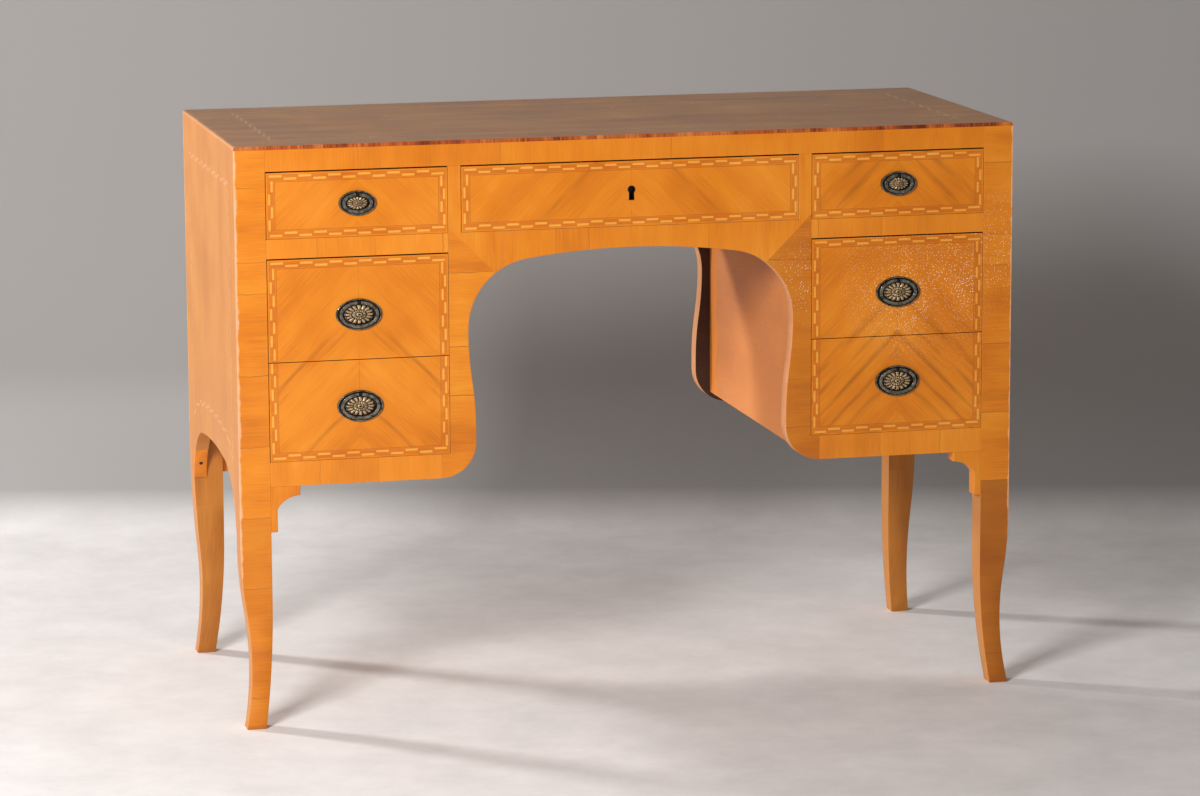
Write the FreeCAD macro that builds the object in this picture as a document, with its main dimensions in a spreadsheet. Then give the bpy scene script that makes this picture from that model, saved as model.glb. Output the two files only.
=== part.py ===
# Kneehole writing desk with seven drawers on sabre legs, made piece by piece as in a cabinet maker's shop.
# Frame: +Z up, +X to the right, the drawers face -Y, origin on the floor under the middle of the desk.
import FreeCAD, Part
import math
import os
from types import SimpleNamespace

import Sketcher

doc = FreeCAD.newDocument("writing_desk")

# Driving dimensions in millimetres, one sheet cell each.
SIZES = {
    # whole desk and its top
    "desk_width": 1076.0,
    "desk_depth": 462.0,
    "desk_height": 784.0,
    "top_thickness": 24.0,
    "top_lip": 5.0,
    "top_end_radius": 4.5,
    "edge_strip_depth": 3.0,
    # board thicknesses
    "frame_thickness": 24.0,
    "back_thickness": 24.0,
    "side_thickness": 18.0,
    "inner_side_thickness": 26.0,
    # heights of the front, from the top down
    "top_rail_height": 29.0,
    "top_row_height": 90.0,
    "drawer_rail_height": 26.0,
    "pedestal_opening": 273.0,
    "lower_drawer_height": 134.0,
    "bottom_rail_height": 33.0,
    "inner_side_rise": 21.0,
    # widths of the front
    "post_width": 41.5,
    "post_depth": 36.0,
    "centre_bay_width": 468.0,
    "divider_width": 17.5,
    # kneehole outline
    "stile_width": 26.0,
    "kneehole_apron": 28.0,
    "kneehole_crown_radius": 1000.0,
    "kneehole_shoulder_radius": 95.0,
    "arch_joint_inset": 45.5,
    "kneehole_waist_inset": 9.5,
    "kneehole_waist_rise": 64.0,
    "kneehole_toe_radius": 48.0,
    "back_kneehole_inset": 12.0,
    "back_rise": 6.0,
    # arch under each end
    "side_arch_rise": 21.0,
    "side_crown_radius": 900.0,
    "side_shoulder_radius": 100.0,
    "side_bracket_height": 43.0,
    "side_bracket_drop": 23.0,
    # sabre legs
    "foot_width": 26.0,
    "foot_depth": 24.0,
    "foot_inset": 2.7,
    "foot_sweep": 10.0,
    "sweep_height": 150.0,
    "front_knee_height": 245.0,
    "rear_knee_height": 300.0,
    "shin_height": 155.0,
    "shin_inset": 7.0,
    "inner_curve_height": 170.0,
    "calf_height": 220.0,
    # stepped cove brackets beside the legs
    "bracket_width": 40.0,
    "bracket_height": 62.0,
    "bracket_step": 13.0,
    "bracket_foot": 9.0,
    "bracket_cove_drop": 18.0,
    # drawer boxes
    "drawer_setback": 0.5,
    "drawer_gap_top": 1.8,
    "drawer_gap_joint": 0.6,
    "drawer_gap_side": 0.7,
    "drawer_gap_bottom": 0.4,
    "drawer_front_thickness": 20.0,
    "drawer_side_thickness": 9.0,
    "drawer_back_thickness": 8.0,
    "drawer_bottom_thickness": 5.0,
    "drawer_bottom_rise": 8.0,
    "groove_depth": 4.0,
    "top_side_drop": 5.0,
    "pedestal_side_drop": 14.0,
    "back_drop": 6.0,
    "front_lap": 6.0,
    "tail_gap": 10.0,
    "tail_flare": 3.0,
    # runners, guides, kickers and stops inside the carcass
    "runner_width": 12.5,
    "runner_height": 12.0,
    "guide_height": 20.0,
    "stop_width": 12.0,
    "stop_length": 37.2,
    "stop_height": 15.0,
    "stop_gap": 0.3,
    # drawer lock
    "lock_case_width": 60.0,
    "lock_case_height": 68.0,
    "lock_case_depth": 11.5,
    "bolt_width": 18.0,
    "bolt_thickness": 6.0,
    "bolt_length": 23.5,
    "bolt_clearance": 0.3,
    "bolt_travel": 7.0,
    "keyhole_drop": 40.5,
    "keyhole_radius": 4.5,
    "keyhole_length": 13.5,
    "keyhole_slot": 5.4,
    "keyhole_flare": 6.0,
    "keyhole_depth": 4.0,
    "liner_wall": 0.9,
    # oval drop handles, the large size on the pedestals and the small size above
    "large_plate_width": 62.0,
    "large_plate_height": 42.0,
    "small_plate_width": 50.0,
    "small_plate_height": 33.0,
    "top_handle_rise": 45.0,
    "upper_handle_rise": 61.0,
    "lower_handle_rise": 71.5,
    "plate_thickness": 1.2,
    "rim_width": 2.0,
    "rim_height": 1.8,
    "bail_inset_x": 4.5,
    "bail_inset_z": 3.0,
    "bail_width": 4.0,
    "bail_depth": 3.4,
    "bail_lift": 1.25,
    "eye_half_width": 2.0,
    "eye_radius": 2.0,
    "eye_gap": 0.4,
    "pin_radius": 0.95,
    "pin_clearance": 0.05,
    "rosette_gap_x": 3.0,
    "rosette_gap_z": 1.5,
    "rosette_height": 3.2,
    "petal_notch": 1.6,
    "shank_width": 4.0,
    "nut_width": 10.0,
    "nut_thickness": 3.5,
}

sheet = doc.addObject("Spreadsheet::Sheet", "sizes")
for row, (name, number) in enumerate(SIZES.items(), start=1):
    sheet.set(f"A{row}", name)
    sheet.set(f"B{row}", str(number))
    sheet.setAlias(f"B{row}", name)
doc.recompute()


class Size:
    """A length that carries both its value and the sheet formula that gives it."""

    def __init__(self, value, formula):
        self.value = value
        self.formula = formula

    def __add__(self, other):
        other = as_size(other)
        return Size(self.value + other.value, f"({self.formula} + {other.formula})")

    def __sub__(self, other):
        other = as_size(other)
        return Size(self.value - other.value, f"({self.formula} - {other.formula})")

    def __mul__(self, other):
        other = as_size(other)
        return Size(self.value * other.value, f"({self.formula} * {other.formula})")

    def __truediv__(self, other):
        other = as_size(other)
        return Size(self.value / other.value, f"({self.formula} / {other.formula})")

    def __neg__(self):
        return Size(-self.value, f"(0 - {self.formula})")


def as_size(number):
    return number if isinstance(number, Size) else Size(float(number), str(number))


def root(size):
    return Size(math.sqrt(size.value), f"sqrt({size.formula})")


mm = SimpleNamespace(**{name: Size(float(sheet.get(name)), f"sizes.{name}") for name in SIZES})
zero = as_size(0)


def bind(item, prop, size):
    item.setExpression(prop, size.formula)


def board(label, low, high):
    """A plain rectangular board between two corners."""
    item = doc.addObject("Part::Box", label)
    for prop, axis, start, end in zip(("Length", "Width", "Height"), "xyz", low, high):
        bind(item, prop, as_size(end) - as_size(start))
        bind(item, f"Placement.Base.{axis}", as_size(start))
    return item


def draw(sketch, start, steps):
    """Draw a closed outline; the step of an arc adds its radius and its turn, 1 for left."""
    corners = [start] + [step[:2] for step in steps]
    gap = math.hypot(*(a.value - b.value for a, b in zip(corners[0], corners[-1])))
    if gap < 1e-6:
        corners.pop()
    else:
        steps = list(steps) + [start]
    ends = []
    for index, step in enumerate(steps):
        first = FreeCAD.Vector(*(size.value for size in corners[index]), 0)
        last = FreeCAD.Vector(*(size.value for size in corners[(index + 1) % len(corners)]), 0)
        if len(step) == 2:
            edge = sketch.addGeometry(Part.LineSegment(first, last))
            ends.append((edge, 1, 2))
            continue
        radius, turn = step[2].value, step[3]
        chord = last - first
        left = FreeCAD.Vector(-chord.y, chord.x, 0).normalize()
        reach = math.sqrt(max(radius ** 2 - chord.Length ** 2 / 4, 0))
        centre = (first + last) * 0.5 + left * (reach * turn)
        angles = [math.atan2(point.y - centre.y, point.x - centre.x) for point in (first, last)]
        circle = Part.Circle(centre, FreeCAD.Vector(0, 0, 1), radius)
        if turn > 0:
            edge = sketch.addGeometry(Part.ArcOfCircle(circle, angles[0], angles[1]))
            ends.append((edge, 1, 2))
        else:
            edge = sketch.addGeometry(Part.ArcOfCircle(circle, angles[1], angles[0]))
            ends.append((edge, 2, 1))
    rules, formulas = [], []
    for before, after in zip(ends, ends[1:] + ends[:1]):
        rules.append(Sketcher.Constraint("Coincident", before[0], before[2], after[0], after[1]))
        formulas.append(None)
    for (edge, point, _), corner in zip(ends, corners):
        for kind, size in zip(("DistanceX", "DistanceY"), corner):
            rules.append(Sketcher.Constraint(kind, -1, 1, edge, point, size.value))
            formulas.append(size.formula)
    for (edge, _, _), step in zip(ends, steps):
        if len(step) == 4:
            rules.append(Sketcher.Constraint("Radius", edge, step[2].value))
            formulas.append(step[2].formula)
    for place, formula in zip(sketch.addConstraint(rules), formulas):
        if formula:
            sketch.setExpression(f"Constraints[{place}]", formula)


def new_sketch(body, plane, offset):
    """A sketch on one of the body's own origin planes, moved along that plane's normal."""
    support = next(item for item in body.Origin.OriginFeatures if item.Role == plane)
    sketch = body.newObject("Sketcher::SketchObject", body.Name + "_sketch")
    sketch.AttachmentSupport = [(support, "")]
    sketch.MapMode = "FlatFace"
    bind(sketch, "AttachmentOffset.Base.z", offset)
    return sketch


def sawn_board(label, plane, near, far, start, steps):
    """A board of one outline, sawn from XZ_Plane (thick along Y) or YZ_Plane (thick along X)."""
    body = doc.addObject("PartDesign::Body", label)
    # The normal of the XZ plane points to -Y, so such a board grows from its far face forwards.
    sketch = new_sketch(body, plane, -far if plane == "XZ_Plane" else near)
    draw(sketch, start, steps)
    pad = body.newObject("PartDesign::Pad", label + "_pad")
    pad.Profile = sketch
    bind(pad, "Length", far - near)
    return body


def mirrored(side, start, steps):
    """The outline of a right-hand piece, or its mirror image for the left, side -1."""
    flipped = []
    for step in steps:
        bend = (step[2], step[3] * side) if len(step) == 4 else ()
        flipped.append((step[0] * side, step[1]) + bend)
    return (start[0] * side, start[1]), flipped


def cut(label, base, *tools):
    item = doc.addObject("Part::Cut", label)
    item.Base = base
    item.Tool = tools[0] if len(tools) == 1 else fuse(label + "_tools", *tools)
    return item


def fuse(label, *pieces):
    item = doc.addObject("Part::MultiFuse", label)
    item.Shapes = list(pieces)
    return item


def common(label, base, tool):
    item = doc.addObject("Part::Common", label)
    item.Base = base
    item.Tool = tool
    return item


def group(label, pieces):
    """Like pieces that share a node, each still a solid of its own."""
    item = doc.addObject("Part::Compound", label)
    item.Links = list(pieces)
    return item


nodes = []


def node(item, name):
    item.Label = name
    nodes.append(item)
    return item


def across(side, inner, outer):
    """The low and high X of a span from inner to outer, measured outwards on the right or left half."""
    return (inner, outer) if side > 0 else (-outer, -inner)


SIDES = {"left": -1, "right": 1}

# Main lines of the desk, worked out from the sheet.
half_width = mm.desk_width / 2
front = -(mm.desk_depth / 2)
rear = mm.desk_depth / 2
top_under = mm.desk_height - mm.top_thickness
lip_under = mm.desk_height - mm.top_lip
top_rail_under = lip_under - mm.top_rail_height
top_row_floor = top_rail_under - mm.top_row_height
pedestal_head = top_row_floor - mm.drawer_rail_height
pedestal_floor = pedestal_head - mm.pedestal_opening
upper_drawer_floor = pedestal_floor + mm.lower_drawer_height
pedestal_under = pedestal_floor - mm.bottom_rail_height
post_inner = half_width - mm.post_width
post_inner_y = rear - mm.post_depth
centre_half = mm.centre_bay_width / 2
stile_outer = centre_half + mm.divider_width
frame_back = front + mm.frame_thickness
back_face = rear - mm.back_thickness
side_inner = half_width - mm.side_thickness


def arch(half, crown, crown_radius, shoulder_radius):
    """A low crown arc that turns without a kink into two shoulder arcs, which end upright at half."""
    centre = half - shoulder_radius
    between = crown_radius - shoulder_radius
    drop = root(between * between - centre * centre)
    return SimpleNamespace(
        half=half,
        turn_x=centre * crown_radius / between,
        turn_z=crown - crown_radius + drop * crown_radius / between,
        spring=crown - crown_radius + drop,
        centre=centre,
        crown_radius=crown_radius,
        shoulder_radius=shoulder_radius,
    )


def kneehole_edge(half, under):
    """The kneehole's arch, and its edge on the right half from the crown rail's joint to the toe at under."""
    crown = top_row_floor - mm.kneehole_apron
    line = arch(half, crown, mm.kneehole_crown_radius, mm.kneehole_shoulder_radius)
    waist = half - mm.kneehole_waist_inset
    waist_z = under + mm.kneehole_waist_rise
    fall = line.spring - waist_z
    bend = (fall * fall + mm.kneehole_waist_inset * mm.kneehole_waist_inset) / (mm.kneehole_waist_inset * 4)
    line.joint_x = half - mm.arch_joint_inset
    joint_run = line.joint_x - line.centre
    line.joint_z = line.spring + root(line.shoulder_radius * line.shoulder_radius - joint_run * joint_run)
    line.toe_end = waist + mm.kneehole_toe_radius
    line.edge = [
        (line.joint_x, line.joint_z),
        (half, line.spring, line.shoulder_radius, -1),
        (half - mm.kneehole_waist_inset / 2, (line.spring + waist_z) / 2, bend, -1),
        (waist, waist_z, bend, 1),
        (waist, under + mm.kneehole_toe_radius),
        (line.toe_end, under, mm.kneehole_toe_radius, 1),
    ]
    return line


def crown_rail(label, line, near, far, top):
    """The rail over the kneehole, with the crown arc on its lower edge."""
    return sawn_board(label, "XZ_Plane", near, far, (-line.joint_x, top), [
        (-line.joint_x, line.joint_z),
        (-line.turn_x, line.turn_z, line.shoulder_radius, -1),
        (line.turn_x, line.turn_z, line.crown_radius, -1),
        (line.joint_x, line.joint_z, line.shoulder_radius, -1),
        (line.joint_x, top),
    ])


# Desk top: one board with rounded ends, rebated in front over the posts and top rail and for the edge strip.
end_turn = half_width - mm.top_end_radius
end_rise = mm.desk_height - mm.top_end_radius
top_blank = sawn_board("top_blank", "XZ_Plane", front, rear, (-half_width, top_under), [
    (half_width, top_under),
    (half_width, end_rise),
    (end_turn, mm.desk_height, mm.top_end_radius, 1),
    (-end_turn, mm.desk_height),
    (-half_width, end_rise, mm.top_end_radius, 1),
])
front_rebate = board("front_rebate", (-half_width, front, top_under), (half_width, frame_back, lip_under))
strip_blank = board("strip_blank", (-half_width, front, lip_under),
                    (half_width, front + mm.edge_strip_depth, mm.desk_height))
node(cut("top_board", top_blank, front_rebate, strip_blank), "desk_top")
node(common("edge_strip", top_blank, strip_blank), "top_edge_strip")

# Sabre legs: each post is sawn to one outline from the front and another from the side.
foot_outer = half_width - mm.foot_inset
shin_x = half_width - mm.shin_inset
kick = foot_outer - shin_x
inner_shift = foot_outer - mm.foot_width - post_inner
inner_bend = (mm.inner_curve_height * mm.inner_curve_height + inner_shift * inner_shift) / (inner_shift * 2)
toe_y = rear + mm.foot_sweep
sweep_bend = (mm.sweep_height * mm.sweep_height + mm.foot_sweep * mm.foot_sweep) / (mm.foot_sweep * 2)
calf_shift = toe_y - mm.foot_depth - post_inner_y
calf_bend = (mm.calf_height * mm.calf_height + calf_shift * calf_shift) / (calf_shift * 2)


def leg(name, side, end):
    """One leg; side is -1 on the left and 1 on the right, end is -1 at the front and 1 at the back."""
    knee_height = mm.rear_knee_height if end > 0 else mm.front_knee_height
    fall = knee_height - mm.shin_height
    square = fall * fall + mm.shin_inset * mm.shin_inset
    knee_bend = square / (mm.shin_inset * 2)
    lean_sin = fall * mm.shin_inset * 2 / square
    lean_cos = (fall * fall - mm.shin_inset * mm.shin_inset) / square
    sole_run = kick * lean_cos + mm.shin_height * lean_sin
    ankle_bend = (kick * kick + mm.shin_height * mm.shin_height) / (sole_run * 2)
    start, steps = mirrored(side, (post_inner, top_under), [
        (half_width, top_under),
        (half_width, knee_height),
        (shin_x, mm.shin_height, knee_bend, -1),
        (foot_outer, zero, ankle_bend, 1),
        (foot_outer - mm.foot_width, zero),
        (post_inner, mm.inner_curve_height, inner_bend, -1),
    ])
    near, far = across(end, zero, toe_y)
    from_front = sawn_board(name + "_front_cut", "XZ_Plane", near, far, start, steps)
    start, steps = mirrored(end, (post_inner_y, top_under), [
        (rear, top_under),
        (rear, mm.sweep_height),
        (toe_y, zero, sweep_bend, 1),
        (toe_y - mm.foot_depth, zero),
        (post_inner_y, mm.calf_height, calf_bend, -1),
    ])
    near, far = across(side, zero, half_width)
    from_side = sawn_board(name + "_side_cut", "YZ_Plane", near, far, start, steps)
    return common(name + "_blank", from_front, from_side)


for side_name, side in SIDES.items():
    # The front posts run up past the ends of the top rail, into the rebate of the top.
    low, high = across(side, post_inner, half_width)
    head = board(f"{side_name}_post_head", (low, front, top_under), (high, frame_back, lip_under))
    node(fuse(f"{side_name}_post", leg(f"front_{side_name}", side, -1), head), f"front_{side_name}_leg")
    node(leg(f"rear_{side_name}", side, 1), f"rear_{side_name}_leg")

# End panels between the legs, arched below, and the nailed brackets that carry the arch onto the legs.
side_arch = arch(post_inner_y, pedestal_under + mm.side_arch_rise, mm.side_crown_radius,
                 mm.side_shoulder_radius)
bracket_top = pedestal_under - mm.side_bracket_drop
bracket_end = bracket_top - mm.side_bracket_height


def side_arch_y(height):
    rise = height - side_arch.spring
    return side_arch.centre + root(side_arch.shoulder_radius * side_arch.shoulder_radius - rise * rise)


side_brackets = []
for side_name, side in SIDES.items():
    near, far = across(side, side_inner, half_width)
    panel = sawn_board(f"{side_name}_end", "YZ_Plane", near, far, (-post_inner_y, top_under), [
        (-post_inner_y, bracket_top),
        (-side_arch_y(bracket_top), bracket_top),
        (-side_arch.turn_x, side_arch.turn_z, side_arch.shoulder_radius, -1),
        (side_arch.turn_x, side_arch.turn_z, side_arch.crown_radius, -1),
        (side_arch_y(bracket_top), bracket_top, side_arch.shoulder_radius, -1),
        (post_inner_y, bracket_top),
        (post_inner_y, top_under),
    ])
    node(panel, f"{side_name}_side_panel")
    for end in (-1, 1):
        start, steps = mirrored(end, (post_inner_y, bracket_end), [
            (post_inner_y, bracket_top),
            (side_arch_y(bracket_top), bracket_top),
            (side_arch_y(bracket_end), bracket_end, side_arch.shoulder_radius, -1),
        ])
        side_brackets.append(sawn_board(f"{side_name}_arch_end", "YZ_Plane", near, far, start, steps))
node(group("arch_ends", side_brackets), "side_arch_brackets")

# Front frame: top rail with the lock's mortise, kneehole stiles and crown rail, rails of the two pedestals.
knee = kneehole_edge(stile_outer - mm.stile_width, pedestal_under)
lock_back = front + mm.drawer_setback + mm.drawer_front_thickness
bolt_y = lock_back - mm.lock_case_depth / 2
bolt_half = mm.bolt_width / 2 + mm.bolt_clearance
bolt_slot = mm.bolt_thickness / 2 + mm.bolt_clearance
mortise = board("bolt_mortise", (-bolt_half, bolt_y - bolt_slot, top_rail_under),
                (bolt_half, bolt_y + bolt_slot, top_rail_under + mm.bolt_travel + mm.bolt_clearance))
rail_blank = board("rail_blank", (-post_inner, front, top_rail_under), (post_inner, frame_back, lip_under))
node(cut("top_rail", rail_blank, mortise), "front_top_rail")
node(crown_rail("front_crown", knee, front, frame_back, top_row_floor), "kneehole_arch_rail")
pedestal_rails = []
for side_name, side in SIDES.items():
    start, steps = mirrored(side, (knee.toe_end, pedestal_under), [
        (knee.toe_end, pedestal_floor),
        (stile_outer, pedestal_floor),
        (stile_outer, top_rail_under),
        (centre_half, top_rail_under),
        (centre_half, top_row_floor),
        (knee.joint_x, top_row_floor),
    ] + knee.edge)
    stile = sawn_board(f"{side_name}_stile", "XZ_Plane", front, frame_back, start, steps)
    node(stile, f"{side_name}_kneehole_stile")
    low, high = across(side, stile_outer, post_inner)
    pedestal_rails.append(board("drawer_rail", (low, front, pedestal_head),
                                (high, frame_back, top_row_floor)))
    low, high = across(side, knee.toe_end, post_inner)
    pedestal_rails.append(board("bottom_rail", (low, front, pedestal_under),
                                (high, frame_back, pedestal_floor)))
node(group("pedestal_rail_set", pedestal_rails), "pedestal_rails")

# Back: two pedestal backs and a crown rail, sawn to a slightly narrower kneehole and ending a little higher.
back_under = pedestal_under + mm.back_rise
back_knee = kneehole_edge(knee.half - mm.back_kneehole_inset, back_under)
node(crown_rail("back_crown", back_knee, back_face, rear, top_under), "back_arch_rail")
for side_name, side in SIDES.items():
    start, steps = mirrored(side, (post_inner, back_under), [
        (post_inner, top_under),
        (back_knee.joint_x, top_under),
    ] + back_knee.edge)
    panel = sawn_board(f"{side_name}_back", "XZ_Plane", back_face, rear, start, steps)
    node(panel, f"{side_name}_back_panel")

# Stepped cove brackets in the corners between the legs and the pedestals, front and back.
cove = mm.bracket_width - mm.bracket_foot
cove_bend = (cove * cove + mm.bracket_cove_drop * mm.bracket_cove_drop) / (mm.bracket_cove_drop * 2)
cove_head = pedestal_under - mm.bracket_step
bracket_toe = pedestal_under - mm.bracket_height
leg_brackets = []
for side in SIDES.values():
    for head, near, far in ((pedestal_under, front, frame_back), (back_under, back_face, rear)):
        start, steps = mirrored(side, (post_inner, head), [
            (post_inner - mm.bracket_width, head),
            (post_inner - mm.bracket_width, cove_head),
            (post_inner - mm.bracket_foot, cove_head - mm.bracket_cove_drop, cove_bend, -1),
            (post_inner - mm.bracket_foot, bracket_toe),
            (post_inner, bracket_toe),
        ])
        leg_brackets.append(sawn_board("cove_bracket", "XZ_Plane", near, far, start, steps))
node(group("cove_brackets", leg_brackets), "leg_brackets")

# Inner sides of the pedestals: thinned above the kneehole, so that a ledge helps to carry the centre drawer.
inner_face = stile_outer - mm.inner_side_thickness
inner_under = pedestal_under + mm.inner_side_rise
for side_name, side in SIDES.items():
    start, steps = mirrored(side, (inner_face, inner_under), [
        (stile_outer, inner_under),
        (stile_outer, top_under),
        (centre_half, top_under),
        (centre_half, top_row_floor),
        (inner_face, top_row_floor),
    ])
    panel = sawn_board(f"{side_name}_inner", "XZ_Plane", frame_back, back_face, start, steps)
    node(panel, f"{side_name}_inner_side")

# Runners under the drawers' sides, guides beside them and kickers above the top row.
runners, guides, kickers = [], [], []
for side in SIDES.values():
    for floor in (top_row_floor, upper_drawer_floor, pedestal_floor):
        low, high = across(side, post_inner - mm.runner_width, side_inner)
        runners.append(board("outer_runner", (low, -post_inner_y, floor - mm.runner_height),
                             (high, post_inner_y, floor)))
        low, high = across(side, stile_outer, stile_outer + mm.runner_width)
        runners.append(board("inner_runner", (low, frame_back, floor - mm.runner_height),
                             (high, back_face, floor)))
        low, high = across(side, post_inner, side_inner)
        guides.append(board("guide", (low, -post_inner_y, floor),
                            (high, post_inner_y, floor + mm.guide_height)))
    low, high = across(side, inner_face - mm.runner_width, inner_face)
    runners.append(board("centre_runner", (low, frame_back, top_row_floor - mm.runner_height),
                         (high, back_face, top_row_floor)))
    for inner in (centre_half - mm.runner_width, stile_outer, post_inner - mm.runner_width):
        low, high = across(side, inner, inner + mm.runner_width)
        kickers.append(board("kicker", (low, frame_back, top_rail_under), (high, back_face, top_under)))
node(group("runner_set", runners), "drawer_runners")
node(group("guide_set", guides), "drawer_guides")
node(group("kicker_set", kickers), "drawer_kickers")

# Drawers: dovetailed boxes whose bottoms slide in grooves; each front carries a handle or the lock.
drawer_face = front + mm.drawer_setback
front_back = drawer_face + mm.drawer_front_thickness
drawer_rear = back_face - mm.stop_length - mm.stop_gap
stops = []


def dovetailed_side(label, near, far, low, high, tails):
    """A drawer side whose front end carries the tails."""
    pitch = (high - low) / tails
    neck = (pitch - mm.tail_gap) / 2
    tip = drawer_face + mm.front_lap
    steps = [(drawer_rear, low), (drawer_rear, high), (front_back, high)]
    for place in range(tails):
        middle = high - pitch * (place + 0.5)
        steps += [
            (front_back, middle + neck),
            (tip, middle + neck + mm.tail_flare),
            (tip, middle - neck - mm.tail_flare),
            (front_back, middle - neck),
        ]
    return sawn_board(label, "YZ_Plane", near, far, (front_back, low), steps)


def drawer(name, low_x, high_x, floor, head, side_drop, tails, fittings):
    """One drawer box; its front ends at head, and is cut away for the fittings."""
    left, right = low_x + mm.drawer_gap_side, high_x - mm.drawer_gap_side
    bottom, top = floor + mm.drawer_gap_bottom, head
    side_top = top - side_drop
    inside_left, inside_right = left + mm.drawer_side_thickness, right - mm.drawer_side_thickness
    panel_low = bottom + mm.drawer_bottom_rise
    panel_high = panel_low + mm.drawer_bottom_thickness
    panel = board(f"{name}_panel", (inside_left - mm.groove_depth, front_back - mm.groove_depth, panel_low),
                  (inside_right + mm.groove_depth, drawer_rear, panel_high))
    blanks = [dovetailed_side(f"{name}_left", left, inside_left, bottom, side_top, tails),
              dovetailed_side(f"{name}_right", inside_right, right, bottom, side_top, tails)]
    tail_board = board(f"{name}_tail", (inside_left, drawer_rear - mm.drawer_back_thickness, panel_high),
                       (inside_right, drawer_rear, side_top - mm.back_drop))
    face = board(f"{name}_face", (left, drawer_face, bottom), (right, front_back, top))
    sides = [cut(f"{name}_side", blank, panel) for blank in blanks]
    node(cut(f"{name}_front", face, panel, *blanks, *fittings), f"{name}_drawer_front")
    node(group(f"{name}_box", sides + [tail_board]), f"{name}_drawer_box")
    node(panel, f"{name}_drawer_bottom")
    for inner in (left, right - mm.stop_width):
        stops.append(board("stop", (inner, back_face - mm.stop_length, floor),
                           (inner + mm.stop_width, back_face, floor + mm.stop_height)))


def oval(half_x, half_z):
    """A four-centred oval: two end arcs and two flatter arcs that meet without a kink."""
    end_bend = half_z * 0.7
    reach = half_x - end_bend
    flat_bend = (reach * reach + half_z * half_z - end_bend * end_bend) / ((half_z - end_bend) * 2)
    turn_x = reach * flat_bend / (flat_bend - end_bend)
    turn_z = (flat_bend - half_z) * end_bend / (flat_bend - end_bend)
    return (turn_x, turn_z), [
        (-turn_x, turn_z, flat_bend, 1),
        (-turn_x, -turn_z, end_bend, 1),
        (turn_x, -turn_z, flat_bend, 1),
        (turn_x, turn_z, end_bend, 1),
    ]


PETALS = 16
RING_SIDES = 48


def corners_round(half_x, half_z, count, notch):
    """Corners evenly round an oval, every second one a notch inside it, as between a rosette's petals."""
    corners = []
    for place in range(count):
        angle = 2 * math.pi * place / count
        inset = notch * (place % 2)
        corners.append(((half_x - inset) * math.cos(angle), (half_z - inset) * math.sin(angle)))
    return corners[0], corners[1:]


def cross_pin(label, radius, low_x, high_x, centre_y, centre_z):
    """A round bar along X."""
    item = doc.addObject("Part::Cylinder", label)
    bind(item, "Radius", radius)
    bind(item, "Height", high_x - low_x)
    item.Placement.Rotation = FreeCAD.Rotation(FreeCAD.Vector(0, 1, 0), 90)
    for axis, place in zip("xyz", (low_x, centre_y, centre_z)):
        bind(item, f"Placement.Base.{axis}", place)
    return item


shank_half = mm.shank_width / 2
nut_back = front_back + mm.nut_thickness


def shank(label, centre_x, centre_z):
    """The square bar that holds a plate, from the drawer's face through its front and nut."""
    return board(label, (centre_x - shank_half, drawer_face, centre_z - shank_half),
                 (centre_x + shank_half, nut_back, centre_z + shank_half))


def handle_pattern(name, width, height):
    """One size of handle, drawn round its shank: a plate with its nut, and the bail that hangs in its eye."""
    half_x, half_z = width / 2, height / 2
    plate_face = drawer_face - mm.plate_thickness
    rim_face = plate_face - mm.rim_height
    blank = sawn_board(f"{name}_blank", "XZ_Plane", rim_face, drawer_face, *oval(half_x, half_z))
    hollow = sawn_board(f"{name}_hollow", "XZ_Plane", rim_face, plate_face,
                        *corners_round(half_x - mm.rim_width, half_z - mm.rim_width, RING_SIDES, zero))
    bail_far = plate_face - mm.bail_lift
    bail_near = bail_far - mm.bail_depth
    outer_x, outer_z = half_x - mm.bail_inset_x, half_z - mm.bail_inset_z
    inner_x, inner_z = outer_x - mm.bail_width, outer_z - mm.bail_width
    pivot_y = (bail_far + bail_near) / 2
    pivot_z = outer_z - mm.bail_width / 2
    rosette_x, rosette_z = inner_x - mm.rosette_gap_x, inner_z - mm.rosette_gap_z
    rosette = sawn_board(f"{name}_rosette", "XZ_Plane", plate_face - mm.rosette_height, plate_face,
                         *corners_round(rosette_x, rosette_z, 2 * PETALS, mm.petal_notch))
    eye = board(f"{name}_eye", (-mm.eye_half_width, pivot_y - mm.eye_radius, pivot_z - mm.eye_radius),
                (mm.eye_half_width, plate_face, pivot_z + mm.eye_radius))
    window = mm.pin_radius + mm.pin_clearance
    eye_window = board(f"{name}_eye_window", (-mm.eye_half_width, pivot_y - window, pivot_z - window),
                       (mm.eye_half_width, pivot_y + window, pivot_z + window))
    bar = shank(f"{name}_shank", zero, zero)
    raised = fuse(f"{name}_raised", cut(f"{name}_disc", blank, hollow), rosette, eye, bar)
    plate = cut(f"{name}_plate", raised, eye_window)
    nut_half = mm.nut_width / 2
    nut_blank = board(f"{name}_nut_blank", (-nut_half, front_back, -nut_half), (nut_half, nut_back, nut_half))
    nut = cut(f"{name}_nut", nut_blank, bar)

    ring = sawn_board(f"{name}_ring", "XZ_Plane", bail_near, bail_far,
                      *corners_round(outer_x, outer_z, RING_SIDES, zero))
    opening = sawn_board(f"{name}_opening", "XZ_Plane", bail_near, bail_far,
                         *corners_round(inner_x, inner_z, RING_SIDES, zero))
    eye_room = mm.eye_half_width + mm.eye_gap
    gap = board(f"{name}_gap", (-eye_room, bail_near, pivot_z - mm.bail_width),
                (eye_room, bail_far, pivot_z + mm.bail_width))
    pin_reach = eye_room + mm.bail_width / 2
    pin = cross_pin(f"{name}_pin", mm.pin_radius, -pin_reach, pin_reach, pivot_y, pivot_z)
    bail = fuse(f"{name}_bail", cut(f"{name}_open_ring", ring, opening, gap), pin)
    return SimpleNamespace(plate=[plate, nut], bail=[bail])


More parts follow.
